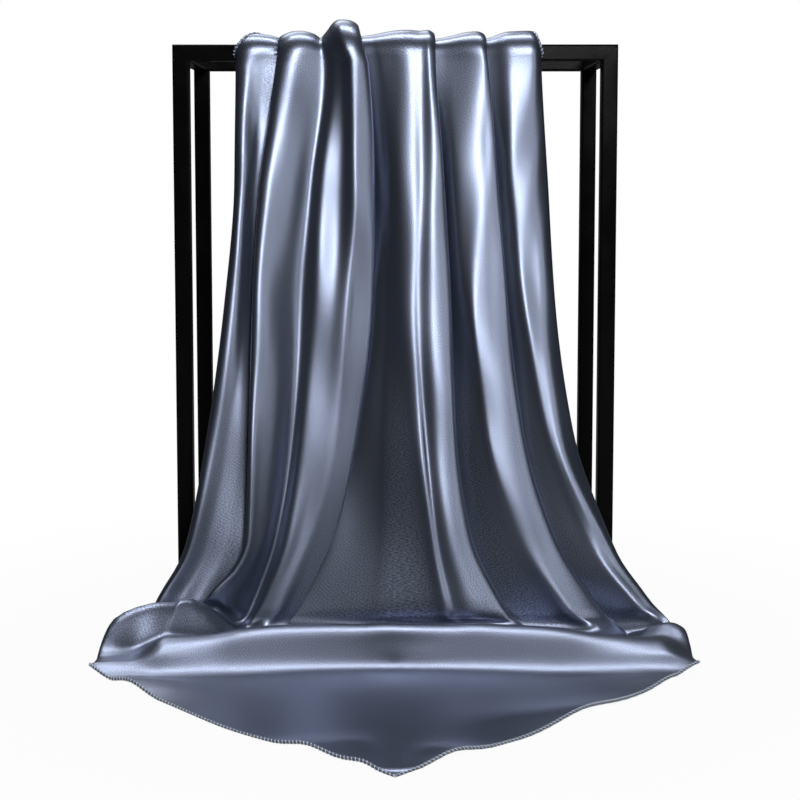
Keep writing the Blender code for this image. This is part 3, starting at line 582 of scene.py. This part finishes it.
def ring_mesh(name, places):
    """A closed mesh of the quads between rings of places, joined up in both directions."""
    index = np.arange(places.size // 3).reshape(places.shape[:2])
    onward, around = np.roll(index, -1, axis=0), np.roll(index, -1, axis=1)
    quads = np.stack([index, around, np.roll(onward, -1, axis=1), onward], -1)
    return quad_mesh(name, places, quads)


def round_tube(path, outward, radius, sides):
    """Rings of places round a closed path, from its direction and a vector across it."""
    ahead = np.roll(path, -1, axis=0) - np.roll(path, 1, axis=0)
    ahead /= np.linalg.norm(ahead, axis=1, keepdims=True)
    other = np.cross(ahead, outward)
    other /= np.linalg.norm(other, axis=1, keepdims=True)
    angle = np.linspace(0.0, 2 * np.pi, sides, endpoint=False)[None, :, None]
    outward = np.cross(other, ahead)[:, None]
    thick = np.reshape(radius, (-1, 1, 1))
    return path[:, None] + thick * (np.cos(angle) * outward + np.sin(angle) * other[:, None])


PUCKER, PUCKER_RUN = 0.10, 0.0125       # swelling between stitches, and how often
HEM_STEP, HEM_SIDES, FLOOR_GAP = 0.0030, 8, 0.0001
HEM_OUT = HEM_RADIUS / 4                # the roll's middle lies this far off the edge
across, length = edge_line(HEM_STEP)
at, _, away = edge_frame(across, length)
run = np.arange(len(at)) * HEM_STEP
swell = HEM_RADIUS * (1.0 + PUCKER * np.sin(2 * np.pi * run / PUCKER_RUN))
roll = round_tube(at + away * HEM_OUT, away, swell, HEM_SIDES)
roll[:, :, 2] = np.maximum(roll[:, :, 2], FLOOR_GAP)
hem = ring_mesh("rolled_hem", roll)

HEM_SATIN = (0.17, 0.195, 0.27, 1.0)
rolled = bpy.data.materials.new("rolled_satin")
rolled.use_nodes = True
tree = rolled.node_tree
shader = tree.nodes["Principled BSDF"]
shader.inputs["Base Color"].default_value = HEM_SATIN
shader.inputs["Metallic"].default_value = 0.6
shader.inputs["Roughness"].default_value = 0.42
place = tree.nodes.new("ShaderNodeTexCoord")
grain = tree.nodes.new("ShaderNodeTexNoise")
grain.inputs["Scale"].default_value = 1100.0
tree.links.new(place.outputs["Object"], grain.inputs["Vector"])
bump = tree.nodes.new("ShaderNodeBump")
bump.inputs["Strength"].default_value = 0.3
bump.inputs["Distance"].default_value = 0.0003
tree.links.new(grain.outputs["Fac"], bump.inputs["Height"])
tree.links.new(bump.outputs["Normal"], shader.inputs["Normal"])
hem.data.materials.append(rolled)
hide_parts("hem_front_left", "hem_front_right", "hem_back_left", "hem_back_right")
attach(hem, "root")


# ---- the hem's thread: one fine thread whipped round the roll, a turn every few mm -------
# It runs on round all four sides, so it shows as short slanting stitches on the edge.
THREAD_RADIUS, STITCH, TURN_POINTS, THREAD_SIDES = 0.00042, 0.0045, 9, 5
across, length = edge_line(STITCH / TURN_POINTS)
at, up, away = edge_frame(across, length)
turn = (2 * np.pi * np.arange(len(at)) / TURN_POINTS)[:, None]
outward = np.cos(turn) * away + np.sin(turn) * up
path = at + away * HEM_OUT + HEM_RADIUS * (1.0 + PUCKER) * outward
path[:, 2] = np.maximum(path[:, 2], THREAD_RADIUS)
stitches = ring_mesh("hem_stitches", round_tube(path, outward, THREAD_RADIUS, THREAD_SIDES))

THREAD = (0.86, 0.89, 0.96, 1.0)
THREAD_DULL = (0.55, 0.60, 0.72, 1.0)
thread = bpy.data.materials.new("polyester_thread")
thread.use_nodes = True
tree = thread.node_tree
shader = tree.nodes["Principled BSDF"]
shader.inputs["Roughness"].default_value = 0.5
place = tree.nodes.new("ShaderNodeTexCoord")
shade = tree.nodes.new("ShaderNodeTexNoise")
shade.inputs["Scale"].default_value = 300.0
tone = tree.nodes.new("ShaderNodeMix")
tone.data_type = "RGBA"
tone.inputs["A"].default_value = THREAD
tone.inputs["B"].default_value = THREAD_DULL
tree.links.new(place.outputs["Object"], shade.inputs["Vector"])
tree.links.new(shade.outputs["Fac"], tone.inputs["Factor"])
tree.links.new(tone.outputs["Result"], shader.inputs["Base Color"])
stitches.data.materials.append(thread)
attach(stitches, "root")


# ---- the room: a white floor, soft lamps and the camera --------------------------------
ground = bpy.data.meshes.new("floor")
REACH, UNDER = 6.0, -0.0005             # half the floor's width, and just below the cloth
ground.from_pydata([(-REACH, -REACH, UNDER), (REACH, -REACH, UNDER),
                    (REACH, REACH, UNDER), (-REACH, REACH, UNDER)], [], [(0, 1, 2, 3)])
floor = bpy.data.objects.new("floor", ground)
scene.collection.objects.link(floor)
# To the camera the paper is plain white, and only near the middle does a trace of its
# shading show. All else sees a grey matt surface.
paper = bpy.data.materials.new("white_paper")
paper.use_nodes = True
tree = paper.node_tree
shader = tree.nodes["Principled BSDF"]
shader.inputs["Base Color"].default_value = (0.22, 0.22, 0.22, 1.0)
shader.inputs["Roughness"].default_value = 0.9
shader.inputs["Specular IOR Level"].default_value = 0.0
white = tree.nodes.new("ShaderNodeEmission")
white.inputs["Strength"].default_value = 1.0
rays = tree.nodes.new("ShaderNodeLightPath")
seen = tree.nodes.new("ShaderNodeMath")
seen.operation = "MULTIPLY"
place = tree.nodes.new("ShaderNodeTexCoord")
far = tree.nodes.new("ShaderNodeVectorMath")
far.operation = "LENGTH"
tree.links.new(place.outputs["Object"], far.inputs[0])
glow = tree.nodes.new("ShaderNodeMapRange")
glow.inputs["From Min"].default_value = 0.35
glow.inputs["From Max"].default_value = 0.75
glow.inputs["To Min"].default_value = 0.965
glow.inputs["To Max"].default_value = 1.0
tree.links.new(far.outputs["Value"], glow.inputs["Value"])
tree.links.new(glow.outputs["Result"], seen.inputs[1])
mixed = tree.nodes.new("ShaderNodeMixShader")
tree.links.new(rays.outputs["Is Camera Ray"], seen.inputs[0])
tree.links.new(seen.outputs[0], mixed.inputs["Fac"])
tree.links.new(shader.outputs[0], mixed.inputs[1])
tree.links.new(white.outputs[0], mixed.inputs[2])
tree.links.new(mixed.outputs[0], tree.nodes["Material Output"].inputs["Surface"])
ground.materials.append(paper)

# The air is white to the camera and dim to all else, and reflections find it brighter
# behind the stand than in front.
world = bpy.data.worlds.new("room")
scene.world = world
world.use_nodes = True
tree = world.node_tree
air = tree.nodes["Background"]
air.inputs["Color"].default_value = (1.0, 1.0, 1.0, 1.0)
rays = tree.nodes.new("ShaderNodeLightPath")
where = tree.nodes.new("ShaderNodeTexCoord")
apart = tree.nodes.new("ShaderNodeSeparateXYZ")
tree.links.new(where.outputs["Generated"], apart.inputs[0])
behind = tree.nodes.new("ShaderNodeMapRange")
behind.inputs["From Min"].default_value = 0.0
behind.inputs["From Max"].default_value = 0.5
behind.inputs["To Min"].default_value = 0.01
behind.inputs["To Max"].default_value = 0.07
tree.links.new(apart.outputs["Y"], behind.inputs["Value"])
glossy = tree.nodes.new("ShaderNodeMix")
glossy.inputs["A"].default_value = 0.035
tree.links.new(rays.outputs["Is Glossy Ray"], glossy.inputs["Factor"])
tree.links.new(behind.outputs["Result"], glossy.inputs["B"])
final = tree.nodes.new("ShaderNodeMix")
final.inputs["B"].default_value = 1.0
tree.links.new(rays.outputs["Is Camera Ray"], final.inputs["Factor"])
tree.links.new(glossy.outputs["Result"], final.inputs["A"])
tree.links.new(final.outputs["Result"], air.inputs["Strength"])

# Lamps: name, place, aim, width, height, watts.
LAMPS = (
    ("key", (0.36, -1.90, 1.28), (0.0, 0.0, 0.35), 0.45, 0.75, 29.0),
    ("top", (0.0, 0.22, 1.90), (0.0, -0.05, 0.05), 1.1, 0.25, 15.0),
    ("back", (-0.50, 1.70, 2.30), (0.0, 0.1, 0.40), 1.4, 1.0, 18.0),
    ("right", (1.5, -1.3, 0.8), (0.0, 0.0, 0.30), 0.5, 0.8, 4.0),
)
for name, spot, aim, width, height, watts in LAMPS:
    lamp = bpy.data.lights.new(name, "AREA")
    lamp.shape = "RECTANGLE"
    lamp.size, lamp.size_y, lamp.energy = width, height, watts
    holder = bpy.data.objects.new(name, lamp)
    holder.location = spot
    holder.rotation_euler = (Vector(aim) - Vector(spot)).to_track_quat("-Z", "Y").to_euler()
    scene.collection.objects.link(holder)

lens = bpy.data.cameras.new("camera")
lens.lens = 72.1
lens.sensor_width = 36.0
lens.shift_x, lens.shift_y = 0.006, -0.121
lens.dof.use_dof = False
camera = bpy.data.objects.new("camera", lens)
camera.location = (0.0, -1.6155, 0.495)
camera.rotation_euler = (np.radians(85.0), 0.0, 0.0)
scene.collection.objects.link(camera)
scene.camera = camera
scene.view_settings.view_transform = "Standard"
